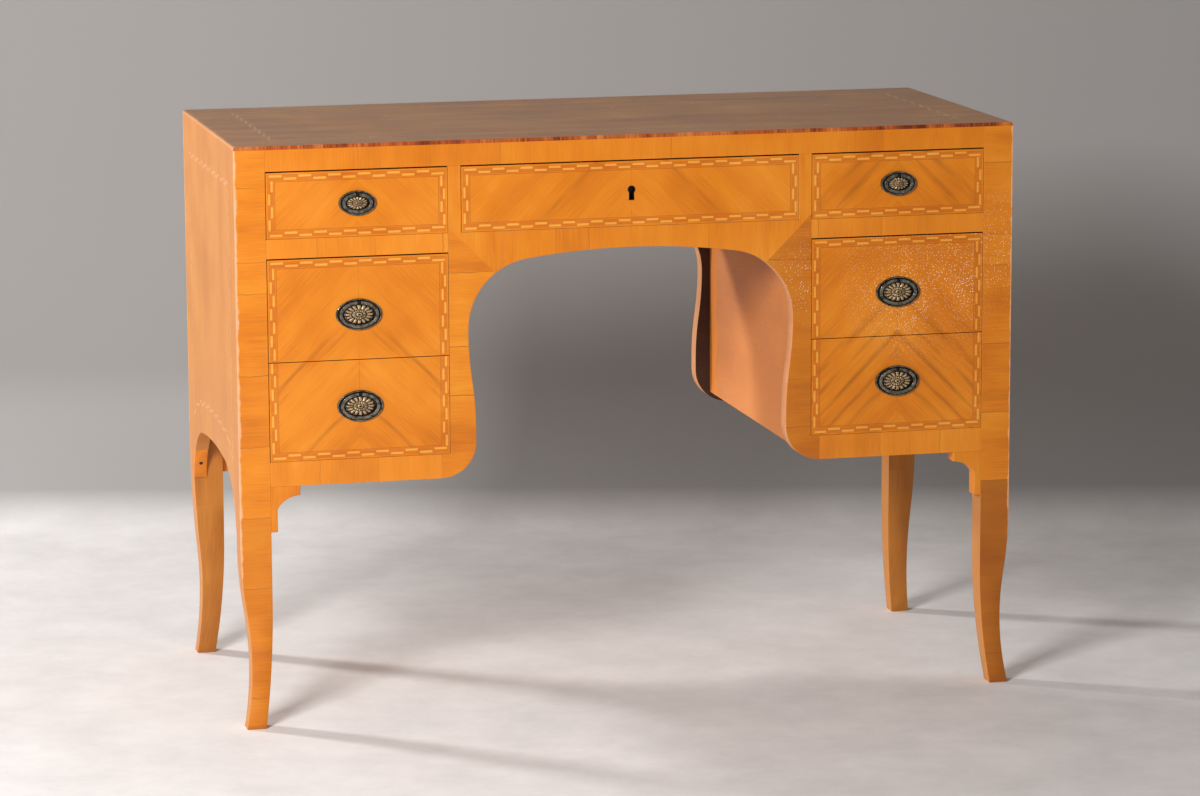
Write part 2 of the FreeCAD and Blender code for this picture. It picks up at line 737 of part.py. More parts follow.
def placed(label, pieces, x, z):
    """Pieces drawn round the origin, set in their place on the front."""
    item = group(label, pieces)
    bind(item, "Placement.Base.x", x)
    bind(item, "Placement.Base.z", z)
    return item


# Keyhole outline: a round head over a slot that widens downwards.
keyhole_z = top_rail_under - mm.keyhole_drop


def keyhole(label, near, far, grow):
    head = mm.keyhole_radius + grow
    neck = mm.keyhole_slot / 2 + grow
    foot = mm.keyhole_flare / 2 + grow
    neck_z = keyhole_z - root(head * head - neck * neck)
    foot_z = keyhole_z - mm.keyhole_length - grow
    return sawn_board(label, "XZ_Plane", near, far, (foot, foot_z), [
        (neck, neck_z),
        (zero, keyhole_z + head, head, 1),
        (-neck, neck_z, head, 1),
        (-foot, foot_z),
    ])


# Lock: a case let into the back of the centre drawer's front, its bolt, and the liner of the keyhole.
case_front = lock_back - mm.lock_case_depth
case_top = top_rail_under - mm.drawer_gap_top
case_half = mm.lock_case_width / 2
case_blank = board("case_blank", (-case_half, case_front, case_top - mm.lock_case_height),
                   (case_half, lock_back, case_top))
bolt_top = case_top - mm.bolt_clearance
bolt_low = bolt_top - mm.bolt_length
bolt_room = board("bolt_room", (-bolt_half, bolt_y - bolt_slot, bolt_low - mm.bolt_clearance),
                  (bolt_half, bolt_y + bolt_slot, case_top))
liner_blank = keyhole("liner_blank", drawer_face, case_front, mm.liner_wall)
key_way = keyhole("key_way", drawer_face, case_front + mm.keyhole_depth, zero)
node(cut("case", case_blank, bolt_room, key_way), "lock_case")
node(board("bolt", (-mm.bolt_width / 2, bolt_y - mm.bolt_thickness / 2, bolt_low),
           (mm.bolt_width / 2, bolt_y + mm.bolt_thickness / 2, bolt_top)), "lock_bolt")
node(cut("liner", liner_blank, key_way), "keyhole_liner")

drawer("centre", -centre_half, centre_half, top_row_floor, case_top, mm.top_side_drop, 2,
       [case_blank, liner_blank])
small = handle_pattern("small_handle", mm.small_plate_width, mm.small_plate_height)
large = handle_pattern("large_handle", mm.large_plate_width, mm.large_plate_height)
for side_name, side in SIDES.items():
    low, high = across(side, stile_outer, post_inner)
    middle = (low + high) / 2
    upper_head = pedestal_head - mm.drawer_gap_top
    lower_head = upper_drawer_floor - mm.drawer_gap_joint
    rows = {
        "top": (top_row_floor, case_top, mm.top_side_drop, 2, small, mm.top_handle_rise),
        "upper": (upper_drawer_floor, upper_head, mm.pedestal_side_drop, 3, large, mm.upper_handle_rise),
        "lower": (pedestal_floor, lower_head, mm.pedestal_side_drop, 3, large, mm.lower_handle_rise),
    }
    for row, (floor, head, side_drop, tails, pattern, rise) in rows.items():
        name = f"{side_name}_{row}"
        node(placed(f"{name}_plate", pattern.plate, middle, floor + rise), f"{name}_handle_plate")
        node(placed(f"{name}_bail", pattern.bail, middle, floor + rise), f"{name}_handle_bail")
        shank_hole = shank(f"{name}_shank_hole", middle, floor + rise)
        drawer(name, low, high, floor, head, side_drop, tails, [shank_hole])
node(group("stop_set", stops), "drawer_stops")

doc.recompute()

# Nothing is written unless every feature and every piece came out sound.
for item in doc.Objects:
    if "Invalid" in item.State or "Error" in item.State:
        raise RuntimeError(f"{item.Label} failed: {item.State}")
for item in nodes:
    if item.Shape.isNull() or not item.Shape.isValid() or not item.Shape.Solids:
        raise RuntimeError(f"{item.Label} has no sound shape")

os.makedirs("parts", exist_ok=True)
for item in nodes:
    item.Shape.exportStep(f"parts/{item.Label}.step")
print(len(nodes), "pieces written")
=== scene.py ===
import math

import bmesh
import bpy
from mathutils import Matrix, Vector


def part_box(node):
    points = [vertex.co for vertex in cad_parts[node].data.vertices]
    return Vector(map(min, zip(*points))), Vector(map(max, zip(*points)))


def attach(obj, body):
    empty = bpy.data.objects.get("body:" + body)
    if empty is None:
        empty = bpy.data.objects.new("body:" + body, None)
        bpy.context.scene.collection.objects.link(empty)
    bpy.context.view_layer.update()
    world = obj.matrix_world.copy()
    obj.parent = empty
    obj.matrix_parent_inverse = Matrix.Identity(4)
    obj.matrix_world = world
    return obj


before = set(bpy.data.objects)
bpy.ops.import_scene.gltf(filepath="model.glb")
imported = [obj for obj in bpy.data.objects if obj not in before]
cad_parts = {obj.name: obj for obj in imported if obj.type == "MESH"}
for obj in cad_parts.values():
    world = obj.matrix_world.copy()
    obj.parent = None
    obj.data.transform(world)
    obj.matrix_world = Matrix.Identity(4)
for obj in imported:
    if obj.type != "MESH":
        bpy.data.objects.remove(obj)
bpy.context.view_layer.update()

# Legs. Each is one post from the floor to the top, sawn to a sabre curve and glued to the end panel. The
# front is veneered across the grain in short leaves that meet in thin dark joints, the outer face has upright
# grain like the end panel, and the outer corner is rubbed pale by use and carries a painted highlight.
MM = 0.001
FRUITWOOD = ("#b75d06", "#da7c0d", "#ea9621")
DARK_FRUITWOOD = ("#985214", "#b66e1e", "#c88432")
END_TONES = ("#b76c27", "#c67f36", "#d28f46")
BROWN_LEAF, GLUE, THIN_GLUE, DARK_STREAK, BLISTER = "#8a4a10", "#5e2a08", "#7a3c08", "#96500c", "#fff0da"
CLOUD, CHIP = 90.0, 14.0
JOINT_WAVE, JOINT_DRIFT, LEAF_SHIFT = 30.0, 1.2, 900.0
STREAK_STRETCH, FIBRE_WIDTH, FIBRE_LENGTH = 7.0, 1.5, 45.0
POST_HALF_X, POST_HALF_Y = 538.0, 231.0
FRONT = -POST_HALF_Y
POST_JOINTS = (41.0, 190.0, 286.0, 382.0, 478.0, 588.0, 630.0, 729.0)
SOLE_DIRT = ((0.0, 6.0),)
LEGS = ["front_left_leg", "front_right_leg", "rear_left_leg", "rear_right_leg"]


def add(tree, kind, inputs=(), out=0, **settings):
    """Add one shader node; inputs go to its sockets in order, or by name where they come as a dict."""
    node = tree.nodes.new("ShaderNode" + kind)
    for name, value in settings.items():
        setattr(node, name, value)
    pairs = inputs.items() if isinstance(inputs, dict) else enumerate(inputs)
    for name, value in pairs:
        if isinstance(value, bpy.types.NodeSocket):
            tree.links.new(value, node.inputs[name])
        else:
            node.inputs[name].default_value = value
    return node.outputs[out]


def colour(code):
    """A screen colour such as "#d08030" as the linear values that shaders use."""
    parts = [int(code[place:place + 2], 16) / 255 for place in (1, 3, 5)]
    linear = [part / 12.92 if part <= 0.04045 else ((part + 0.055) / 1.055) ** 2.4 for part in parts]
    return (*linear, 1.0)


def millimetres(tree):
    """The place on the desk, in millimetres."""
    place = add(tree, "TexCoord", out="Object")
    return add(tree, "VectorMath", {0: place, "Scale": 1 / MM}, operation="SCALE")


def level_grain(tree, x, y, z):
    """Across and along grain that lies level on the front."""
    return z, add(tree, "Math", (x, y), operation="ADD")


def upright_grain(tree, x, y, z):
    """Across and along grain that stands upright on the front and the ends."""
    return add(tree, "Math", (x, y), operation="ADD"), z


def polished_wood(name, tones, grain, figure, depth, roughness=0.42, joints=(), dark_leaves=0,
                  browning=0.6, streaks=(), specks=None, middle=None):
    """Waxed or bare wood in dark, middle and light tones, with lengths in millimetres. figure is the width of
    a broad streak and depth its strength. joints are the places across the grain where two leaves meet, and
    the first dark_leaves of the leaves are browner, by a share of browning. streaks are the places and widths
    of dark lines in the grain, specks the heart, reach, spacing and radius of a patch of blistered polish,
    and middle the X where two halves meet."""
    material = bpy.data.materials.new(name)
    material.use_nodes = True
    tree = material.node_tree
    surface = tree.nodes["Principled BSDF"]
    in_mm = millimetres(tree)
    x = add(tree, "SeparateXYZ", [in_mm])
    y, z = x.node.outputs[1], x.node.outputs[2]
    across, along = grain(tree, x, y, z)
    cloud = add(tree, "TexNoise", {"Vector": in_mm, "Scale": 1 / CLOUD, "Detail": 3.0})
    parts = [(cloud, 0.7)]
    seams = []

    # Each leaf has a number, which shifts its tone and the run of its grain. Its joint wanders a little.
    run = along
    if joints:
        wander_at = add(tree, "CombineXYZ", (along, 0.0, 0.0))
        wander = add(tree, "TexNoise", {"Vector": wander_at, "Scale": 1 / JOINT_WAVE, "Detail": 2.0})
        drift = add(tree, "MapRange", (wander, 0.3, 0.7, -JOINT_DRIFT, JOINT_DRIFT))
        strayed = add(tree, "Math", (across, drift), operation="ADD")
        leaf, nearest = 0.0, 1000.0
        for joint in joints:
            past = add(tree, "Math", (strayed, joint), operation="GREATER_THAN")
            leaf = add(tree, "Math", (leaf, past), operation="ADD")
            off = add(tree, "Math", (strayed, joint), operation="SUBTRACT")
            gap = add(tree, "Math", [off], operation="ABSOLUTE")
            nearest = add(tree, "Math", (nearest, gap), operation="MINIMUM")
        leaf_tone = add(tree, "TexWhiteNoise", {"W": leaf}, noise_dimensions="1D")
        shift = add(tree, "Math", (leaf_tone, LEAF_SHIFT), operation="MULTIPLY")
        run = add(tree, "Math", (along, shift), operation="ADD")
        parts.append((leaf_tone, 0.2))
        seams.append((nearest, 1.0, GLUE))

    # Broad streaks along the grain, and fibres. Real fibres are finer than a pixel, so these are coarser.
    across_figure = add(tree, "Math", (across, figure), operation="DIVIDE")
    run_figure = add(tree, "Math", (run, figure * STREAK_STRETCH), operation="DIVIDE")
    streak_at = add(tree, "CombineXYZ", (across_figure, run_figure, 0.0))
    streak = add(tree, "TexNoise", {"Vector": streak_at, "Scale": 1.0, "Detail": 4.0, "Distortion": 0.4})
    across_fibre = add(tree, "Math", (across, FIBRE_WIDTH), operation="DIVIDE")
    run_fibre = add(tree, "Math", (run, FIBRE_LENGTH), operation="DIVIDE")
    fibre_at = add(tree, "CombineXYZ", (across_fibre, run_fibre, 0.0))
    fibre = add(tree, "TexNoise", {"Vector": fibre_at, "Scale": 1.0, "Detail": 3.0})
    parts += [(streak, 0.6), (fibre, 0.55)]
    tone = 0.5
    for part, share in parts:
        half = 0.5 * share * depth
        swing = add(tree, "MapRange", (part, 0.0, 1.0, -half, half), clamp=False)
        tone = add(tree, "Math", (tone, swing), operation="ADD")
    base = add(tree, "ValToRGB", [tone])
    stops = base.node.color_ramp.elements
    stops.new(0.5)
    for stop, place, code in zip(stops, (0.22, 0.5, 0.78), tones):
        stop.position = place
        stop.color = colour(code)

    # Darker leaves, glue and dirt in the seams, and dark streaks that come and go along the grain.
    if dark_leaves:
        brown = add(tree, "MapRange", (leaf, dark_leaves - 1.0, dark_leaves, browning, 0.0))
        base = add(tree, "Mix", {0: brown, 6: base, 7: colour(BROWN_LEAF)}, out=2, data_type="RGBA")
    if middle is not None:
        off = add(tree, "Math", (x, middle), operation="SUBTRACT")
        gap = add(tree, "Math", [off], operation="ABSOLUTE")
        seams.append((gap, 0.5, THIN_GLUE))
    dirt = add(tree, "MapRange", (cloud, 0.4, 0.65, 0.1, 0.6))
    for gap, strength, code in seams:
        line = add(tree, "MapRange", (gap, 0.2, 0.8, strength, 0.0))
        seam = add(tree, "Math", (line, dirt), operation="MULTIPLY")
        base = add(tree, "Mix", {0: seam, 6: base, 7: colour(code)}, out=2, data_type="RGBA")
    if streaks:
        breaks = add(tree, "TexNoise", {"Vector": streak_at, "Scale": 2.5, "Detail": 4.0})
        broken = add(tree, "MapRange", (breaks, 0.4, 0.65, 0.0, 0.7))
    for place_across, width in streaks:
        off = add(tree, "Math", (across, place_across), operation="SUBTRACT")
        gap = add(tree, "Math", [off], operation="ABSOLUTE")
        near = add(tree, "MapRange", (gap, 0.0, width, 1.0, 0.0))
        patchy = add(tree, "Math", (near, broken), operation="MULTIPLY")
        base = add(tree, "Mix", {0: patchy, 6: base, 7: colour(DARK_STREAK)}, out=2, data_type="RGBA")

    # Pale specks where the polish has blistered, thickest at the heart of the patch.
    if specks:
        heart, reach, spacing, radius = specks
        away = add(tree, "VectorMath", (in_mm, heart), out="Value", operation="DISTANCE")
        inside = add(tree, "MapRange", (away, reach, reach * 0.3, 0.0, 1.0))
        cell = add(tree, "TexVoronoi", {"Vector": in_mm, "Scale": 1 / spacing})
        speck = add(tree, "MapRange", (cell, radius / spacing * 0.7, radius / spacing * 1.2, 1.0, 0.0))
        patches = add(tree, "MapRange", (cloud, 0.32, 0.5, 0.3, 1.0))
        shown = add(tree, "Math", (inside, patches), operation="MULTIPLY")
        pale = add(tree, "Math", (speck, shown), operation="MULTIPLY")
        base = add(tree, "Mix", {0: pale, 6: base, 7: colour(BLISTER)}, out=2, data_type="RGBA")
    tree.links.new(base, surface.inputs["Base Color"])

    # The shine changes slowly over the surface, and the fibres stand up very slightly.
    rough = add(tree, "MapRange", (cloud, 0.3, 0.7, roughness - 0.07, roughness + 0.09))
    tree.links.new(rough, surface.inputs["Roughness"])
    bump = add(tree, "Bump", {"Strength": 0.1, "Distance": 0.2 * MM, "Height": fibre})
    tree.links.new(bump, surface.inputs["Normal"])
    return material


def worn_and_highlit_corners(material, code, reach):
    """Paint worn pallor and a highlight along the desk's four upright corners, about reach millimetres wide.
    """
    tree = material.node_tree
    base = tree.nodes["Principled BSDF"].inputs["Base Color"]
    in_mm = millimetres(tree)
    folded = add(tree, "VectorMath", [in_mm], operation="ABSOLUTE")
    inward = add(tree, "VectorMath", ((POST_HALF_X, POST_HALF_Y, 0.0), folded), operation="SUBTRACT")
    distance = add(tree, "VectorMath", [inward], operation="ABSOLUTE")
    from_x = add(tree, "SeparateXYZ", [distance])
    off = add(tree, "Math", (from_x, from_x.node.outputs[1]), operation="ADD")
    chips = add(tree, "TexNoise", {"Vector": in_mm, "Scale": 1 / CHIP, "Detail": 4.0})
    frayed = add(tree, "MapRange", (chips, 0.3, 0.7, -0.7 * reach, 0.7 * reach), clamp=False)
    uneven = add(tree, "Math", (off, frayed), operation="ADD")
    wear_and_highlight = add(tree, "MapRange", (uneven, reach * 0.5, reach * 1.5, 0.75, 0.0))
    unmarked_base = base.links[0].from_socket
    pale = add(tree, "Mix", {0: wear_and_highlight, 6: unmarked_base, 7: colour(code)}, out=2, data_type="RGBA")
    tree.links.new(pale, base)


def dress(names, material, arris=0.0, steps=2):
    """Give CAD pieces their material, and take the sharpness off their edges, arris millimetres wide."""
    for name in names:
        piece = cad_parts[name]
        piece.data.materials.clear()
        piece.data.materials.append(material)
        weld = piece.modifiers.new("weld", "WELD")
        weld.merge_threshold = 0.02 * MM
        if arris:
            bevel = piece.modifiers.new("arris", "BEVEL")
            bevel.width = arris * MM
            bevel.segments = steps
            bevel.limit_method = "ANGLE"
            bevel.angle_limit = math.radians(40)
            bevel.harden_normals = True


def refinish(names, material, chosen):
    """Give another material to those faces of CAD pieces whose normal is chosen."""
    for name in names:
        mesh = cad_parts[name].data
        mesh.materials.append(material)
        for face in mesh.polygons:
            if chosen(face.normal):
                face.material_index = len(mesh.materials) - 1


# Waxed fruitwood veneer: a warm orange with a soft shine, its level grain broken by the joints between
# leaves. Below the pedestal it is slightly browner, and dirt darkens the edge of the sole.
left_wood = polished_wood("cross_cut_fruitwood_veneer", FRUITWOOD, level_grain, figure=22.0, depth=0.6,
                          joints=POST_JOINTS, dark_leaves=3, browning=0.15, streaks=SOLE_DIRT)
# On the right leg these leaves are much browner, and pale specks of blistered polish cross the post.
right_wood = polished_wood("blistered_fruitwood_veneer", FRUITWOOD, level_grain, figure=22.0, depth=0.6,
                           joints=POST_JOINTS, dark_leaves=3, streaks=SOLE_DIRT,
                           specks=((515.0, FRONT, 595.0), 110.0, 2.8, 0.5))
# The rear legs are solid wood, browner and duller, with upright grain and no joints.
rear_wood = polished_wood("brown_solid_fruitwood", DARK_FRUITWOOD, upright_grain, figure=26.0, depth=0.7,
                          roughness=0.5)
# The veneer of the ends, sun-bleached: paler, pinker and duller, with plain upright grain.
end_wood = polished_wood("bleached_fruitwood_veneer", END_TONES, upright_grain, figure=55.0, depth=0.6,
                         roughness=0.5)
# The corners of the ends are worn pale, with a painted highlight on them.
worn_and_highlit_corners(end_wood, "#e3b08a", reach=2.8)
for name, wood in zip(LEGS, (left_wood, right_wood, rear_wood, rear_wood)):
    dress([name], wood, arris=0.5)
# The outer corners of the front legs likewise: wear and a painted highlight.
worn_and_highlit_corners(left_wood, "#efb98c", reach=2.2)
worn_and_highlit_corners(right_wood, "#efb98c", reach=1.6)
refinish(LEGS, end_wood, lambda normal: abs(normal.x) > 0.7)

# Brackets. Stepped coves are glued under the rails beside the legs, and small curved blocks under the end
# panels carry their arch onto the legs. Each block is held by one hand-made iron nail, whose head shows.
NAIL_RADIUS, NAIL_DOME, NAIL_DENT = 2.6, 1.1, 0.06
NAIL_RINGS, NAIL_STEPS = 5, 16
BLOCK_X, BLOCK_Y, BLOCK_Z, BLOCK_LEAN = 529.0, 186.4, 284.0, math.radians(23.0)


def aged_metal(name, hollow, rubbed, roughness, metallic, grit):
    """Metal with a patina that changes between two colours in patches of grit millimetres."""
    material = bpy.data.materials.new(name)
    material.use_nodes = True
    tree = material.node_tree
    surface = tree.nodes["Principled BSDF"]
    place = add(tree, "TexCoord", out="Object")
    blotch = add(tree, "TexNoise", {"Vector": place, "Scale": 1 / (grit * MM), "Detail": 4.0})
    patina = add(tree, "MapRange", (blotch, 0.35, 0.65, 0.0, 1.0))
    tint = add(tree, "Mix", {0: patina, 6: colour(hollow), 7: colour(rubbed)}, out=2, data_type="RGBA")
    tree.links.new(tint, surface.inputs["Base Color"])
    surface.inputs["Metallic"].default_value = metallic
    rough = add(tree, "MapRange", (blotch, 0.3, 0.7, roughness + 0.1, roughness - 0.08))
    tree.links.new(rough, surface.inputs["Roughness"])
    return material


# Waxed fruitwood with upright grain, so that the steps and curves catch the light and nothing else shows.
bracket_wood = polished_wood("bracket_fruitwood", FRUITWOOD, upright_grain, figure=26.0, depth=0.7)
dress(["leg_brackets", "side_arch_brackets"], bracket_wood, arris=0.8)
# Forged iron, brown-black with age and only slightly shiny.
iron = aged_metal("forged_iron", "#1a1816", "#4a4642", roughness=0.5, metallic=0.8, grit=8.0)
for number, (side, end) in enumerate(((-1, -1), (-1, 1), (1, -1), (1, 1))):
    seat = Vector((side * BLOCK_X, end * BLOCK_Y, BLOCK_Z))
    outward = Vector((0.0, -end * math.cos(BLOCK_LEAN), -math.sin(BLOCK_LEAN)))
    upward = Vector((0.0, -end * math.sin(BLOCK_LEAN), math.cos(BLOCK_LEAN)))
    head = bmesh.new()
    loops = []
    for ring in range(NAIL_RINGS + 1):
        lean = math.pi / 2 * ring / NAIL_RINGS
        loop = []
        for step in range(NAIL_STEPS):
            angle = 2 * math.pi * step / NAIL_STEPS
            hammered = NAIL_RADIUS * math.cos(lean) * (1.0 + NAIL_DENT * math.sin(3 * angle + number))
            across = Vector((hammered * math.cos(angle), 0.0, 0.0))
            risen = upward * hammered * math.sin(angle)
            point = seat + across + risen + outward * NAIL_DOME * math.sin(lean)
            loop.append(head.verts.new(point * MM))
        loops.append(loop)
    for outer, inner in zip(loops, loops[1:]):
        for step in range(NAIL_STEPS):
            after = (step + 1) % NAIL_STEPS
            head.faces.new((outer[step], outer[after], inner[after], inner[step])).smooth = True
    bmesh.ops.remove_doubles(head, verts=head.verts, dist=1e-6)
    bmesh.ops.recalc_face_normals(head, faces=head.faces)
    mesh = bpy.data.meshes.new(f"block_nail_{number}")
    head.to_mesh(mesh)
    head.free()
    mesh.materials.append(iron)
    piece = bpy.data.objects.new(f"block_nail_{number}", mesh)
    bpy.context.scene.collection.objects.link(piece)
    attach(piece, "carcass")

# End panels. One board each, flush with the legs and veneered with them in one sheet. A border of small light
# dashes was let into the veneer under the top, down the sides and along the arch, and is so worn and bleached
# that it only just shows.
SIDE_NEAR, SIDE_FAR, SIDE_HEAD, SIDE_FOOT = -178.0, 178.0, 732.0, 367.0
CROWN_Z, CROWN_RADIUS, CROWN_HALF = -551.0, 900.0, 106.9
SHOULDER_Y, SHOULDER_Z, SHOULDER_RADIUS = 95.0, 243.3, 100.0
ARCH_LIFT = 39.0
DASH, DASH_GAP, DASH_WIDTH, DASH_ROW, BAND = 16.0, 3.0, 2.9, 3.8, 8.0
END_LIFT = 0.06


def let_in(name, flats, material, body):
    """Thin flat pieces of veneer let into a surface, each given by its four corners in millimetres."""
    mesh = bpy.data.meshes.new(name)
    points = [tuple(value * MM for value in corner) for four in flats for corner in four]
    mesh.from_pydata(points, [], [tuple(range(start, start + 4)) for start in range(0, len(points), 4)])
    mesh.materials.append(material)
    piece = bpy.data.objects.new(name, mesh)
    bpy.context.scene.collection.objects.link(piece)
    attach(piece, body)


def oblong(start, low, end, high):
    """The four corners of a rectangle, in turn."""
    return [(start, low), (end, low), (end, high), (start, high)]


def dash_row(start, end):
    """The starts and ends of dashes that fill a row evenly, and how far in each lies, as they take turns."""
    count = round((end - start + DASH_GAP) / (DASH + DASH_GAP))
    pitch = (end - start + DASH_GAP) / count
    return [(start + place * pitch, start + (place + 1) * pitch - DASH_GAP, DASH_ROW * (place % 2))
            for place in range(count)]


def above_arch(y, lift):
    """The height of the line that runs lift millimetres outside the arch of the end panel."""
    if abs(y) < CROWN_HALF * (1 + lift / CROWN_RADIUS):
        return CROWN_Z + math.sqrt((CROWN_RADIUS + lift) ** 2 - y ** 2)
    return SHOULDER_Z + math.sqrt((SHOULDER_RADIUS + lift) ** 2 - (abs(y) - SHOULDER_Y) ** 2)


dress(["left_side_panel", "right_side_panel"], end_wood)
# Bleached maple, hardly paler than the veneer round it.
faded_inlay = polished_wood("bleached_maple_inlay", ("#cb8e58", "#d89e68", "#e2ac78"), upright_grain,
                            figure=6.0, depth=0.8, roughness=0.5)
marks = []
for low, high, inset in dash_row(SIDE_NEAR, SIDE_FAR):
    marks.append(oblong(low, SIDE_HEAD - inset - DASH_WIDTH, high, SIDE_HEAD - inset))
for low, high, inset in dash_row(SIDE_FOOT, SIDE_HEAD - BAND):
    marks.append(oblong(SIDE_NEAR + inset, low, SIDE_NEAR + inset + DASH_WIDTH, high))
    marks.append(oblong(SIDE_FAR - inset - DASH_WIDTH, low, SIDE_FAR - inset, high))
for low, high, inset in dash_row(SIDE_NEAR, SIDE_FAR):
    lifted = oblong(low, ARCH_LIFT + inset, high, ARCH_LIFT + inset + DASH_WIDTH)
    marks.append([(y, above_arch(y, lift)) for y, lift in lifted])
for name, side in (("left", -1), ("right", 1)):
    out = side * (POST_HALF_X + END_LIFT)
    flats = [[(out, y, z) for y, z in four][::side] for four in marks]
    let_in(f"{name}_end_inlay", flats, faded_inlay, "carcass")

# Front frame. Rails and stiles are glued up flush and veneered over. The rails carry upright grain in short
# leaves. The kneehole stiles carry level grain, which meets upright grain in a mitre at the shoulder.
PALE_FRUITWOOD = ("#c2680a", "#e18418", "#f09e30")
RAIL_JOINTS = (-372.0, -180.0, 55.0, 312.0, 353.0)
ARCH_JOINTS = (-105.0, -59.0, 107.0)
PEDESTAL_JOINTS = (-429.0, -350.0, -259.0, 261.0, 351.0, 437.0)
MITRE = 416.0
# The last of these lies beyond the stile: it tells the upright leaf above the mitre, which is moved past it
# by UPRIGHT_SHIFT, from the level leaves below.
STILE_JOINTS = (374.0, 440.0, 506.0, 606.0, 900.0)
UPRIGHT_SHIFT = 1500.0
KNEEHOLE = ["left_kneehole_stile", "right_kneehole_stile", "kneehole_arch_rail"]


def stile_grain(tree, x, y, z):
    """Upright above the mitre, where height exceeds distance from the middle by MITRE, and level below."""
    outward = add(tree, "Math", [x], operation="ABSOLUTE")
    rise = add(tree, "Math", (z, outward), operation="SUBTRACT")
    above = add(tree, "Math", (rise, MITRE), operation="GREATER_THAN")
    past_joints = add(tree, "Math", (x, UPRIGHT_SHIFT), operation="ADD")
    across = add(tree, "Mix", {0: above, 2: z, 3: past_joints})
    along = add(tree, "Mix", {0: above, 2: x, 3: z})
    return across, along


def grain_to_back(tree, x, y, z):
    """Across and along grain that runs from front to back."""
    return add(tree, "Math", (x, z), operation="ADD"), y


# Waxed fruitwood as on the legs; here the thin dark joints between leaves stand upright. Upright grain is
# measured along x + y, so a joint at x on the front lies at x + FRONT.
rail_wood = polished_wood("top_rail_fruitwood", FRUITWOOD, upright_grain, figure=24.0, depth=0.42,
                          joints=[x + FRONT for x in RAIL_JOINTS])
dress(["front_top_rail"], rail_wood, arris=0.4)
arch_wood = polished_wood("arch_rail_fruitwood", FRUITWOOD, upright_grain, figure=22.0, depth=0.5,
                          joints=[x + FRONT for x in ARCH_JOINTS])
dress(["kneehole_arch_rail"], arch_wood, arris=0.5)
# The same on the rails of the pedestals, a little paler.
pedestal_wood = polished_wood("pedestal_rail_fruitwood", PALE_FRUITWOOD, upright_grain, figure=22.0,
                              depth=0.45, joints=[x + FRONT for x in PEDESTAL_JOINTS])
dress(["pedestal_rails"], pedestal_wood, arris=0.4)
# On the left stile the joints lie level, and the mitre shows as a change in the run of the grain.
stile_wood = polished_wood("kneehole_stile_fruitwood", FRUITWOOD, stile_grain, figure=20.0, depth=0.65,
                           joints=STILE_JOINTS)
dress(["left_kneehole_stile"], stile_wood, arris=0.5)
# The right stile is browner below the mitre, and its polish has blistered there.
brown_stile_wood = polished_wood("blistered_stile_fruitwood", FRUITWOOD, stile_grain, figure=20.0, depth=0.65,
                                 joints=STILE_JOINTS, dark_leaves=5, browning=0.3,
                                 specks=((260.0, FRONT, 575.0), 80.0, 3.0, 0.5))
dress(["right_kneehole_stile"], brown_stile_wood, arris=0.5)
# Sawn pine: the pale, pinkish core of the frame, bare where the kneehole cuts through the veneer.
sawn_edge = polished_wood("sawn_pine_edge", ("#c7814f", "#d99561", "#e4a574"), grain_to_back, figure=40.0,
                          depth=0.6, roughness=0.6)
refinish(KNEEHOLE, sawn_edge, lambda normal: abs(normal.y) < 0.5)

# Inner sides of the pedestals. Plain boards behind the stiles, stained pinkish brown and never polished. A
# ragged orange strip up the rear end of each is a painted light effect.
PAINTED_STRIP_START, STRIP_WAVE, STRIP_DRIFT = 168.0, 60.0, 10.0
PAINTED_LIGHT_TONE = "#dc8024"
# Stained pine: dull, pinkish and almost without figure, with a few pale specks.
inner_wood = polished_wood("stained_pine_board", ("#b9692c", "#cd7c3a", "#d98c49"), grain_to_back,
                           figure=70.0, depth=0.6, roughness=0.55,
                           specks=((234.0, -20.0, 520.0), 200.0, 13.0, 0.9))
tree = inner_wood.node_tree
base = tree.nodes["Principled BSDF"].inputs["Base Color"]
stained = base.links[0].from_socket
in_mm = millimetres(tree)
# The ragged orange strip at the rear end is painted light.
backward = add(tree, "SeparateXYZ", [in_mm], out=1)
ragged = add(tree, "TexNoise", {"Vector": in_mm, "Scale": 1 / STRIP_WAVE, "Detail": 1.0})
ragged_edge = add(tree, "MapRange", (ragged, 0.3, 0.7, -STRIP_DRIFT, STRIP_DRIFT))
strip_edge = add(tree, "Math", (backward, ragged_edge), operation="ADD")
painted_strip = add(tree, "MapRange", (strip_edge, PAINTED_STRIP_START - 1.0, PAINTED_STRIP_START + 1.0, 0.0, 1.0))
with_painted_strip = add(tree, "Mix", {0: painted_strip, 6: stained, 7: colour(PAINTED_LIGHT_TONE)}, out=2, data_type="RGBA")
tree.links.new(with_painted_strip, base)
dress(["left_inner_side", "right_inner_side"], inner_wood, arris=0.4)

# Back. Two panels and an arched rail close the carcass behind, with a slightly narrower kneehole than in
# front. They are plain boards, glued and nailed to the rear legs and stained brown.
BACK = ["left_back_panel", "right_back_panel", "back_arch_rail"]


def level_board_grain(tree, x, y, z):
    """Across and along grain that runs from left to right, on upright and on flat boards."""
    return add(tree, "Math", (y, z), operation="ADD"), x


# Stained pine again, browner and rougher than inside.
back_wood = polished_wood("brown_stained_pine", ("#8a5734", "#a97249", "#bf865a"), level_board_grain,
                          figure=36.0, depth=1.0, roughness=0.6)
dress(BACK, back_wood, arris=0.6)
refinish(BACK, sawn_edge, lambda normal: abs(normal.y) < 0.5)
# Their inner faces are painted nearly black: painted shade inside the carcass.
shade_black_pine = polished_wood("painted_shade_pine", ("#29160b", "#391f10", "#492915"), level_board_grain, figure=36.0,
                           depth=1.0, roughness=0.7)
refinish(BACK, shade_black_pine, lambda normal: normal.y < -0.7)

